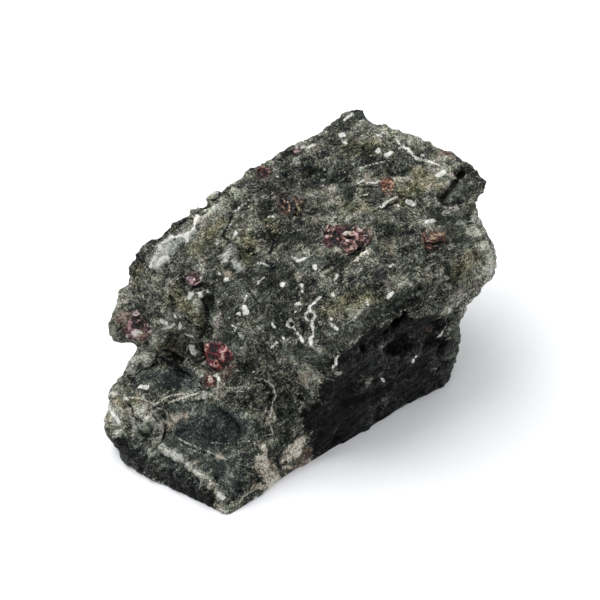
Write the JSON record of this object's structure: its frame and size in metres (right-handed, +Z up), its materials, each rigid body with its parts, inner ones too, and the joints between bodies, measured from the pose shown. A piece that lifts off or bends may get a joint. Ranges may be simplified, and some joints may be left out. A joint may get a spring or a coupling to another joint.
{
  "type": "garnet in matrix",
  "caption": "Hand specimen: a broken lump of dark grey-green peridotite with red, pink and orange garnet crystals set in it.",
  "frame": {"origin": "middle of the footprint, on the surface that the stone stands on", "axes": "+X along the stone from its low foot to its far end, +Y from its dark front wall to its back, +Z up"},
  "size_m": [0.0696, 0.0392, 0.0321],
  "materials": {
    "peridotite": "matte",
    "wine_garnet": "gloss",
    "red_garnet": "gloss",
    "mauve_garnet": "gloss",
    "rust_garnet": "satin",
    "orange_garnet": "satin"
  },
  "bodies": {
    "root": {"matrix": "peridotite", "garnet_centre": "wine_garnet", "garnet_front": "red_garnet", "garnet_front_lower": "red_garnet", "garnet_left_edge": "mauve_garnet", "garnet_left_ridge": "mauve_garnet", "garnet_back_edge": "wine_garnet", "garnet_upper": "rust_garnet", "garnet_right_upper": "orange_garnet", "garnet_right": "orange_garnet", "garnet_crest": "mauve_garnet", "garnet_dark_wall": "red_garnet", "garnet_foot": "rust_garnet", "garnet_back_wall": "wine_garnet", "garnet_far_end": "red_garnet"}
  },
  "joints": []
}
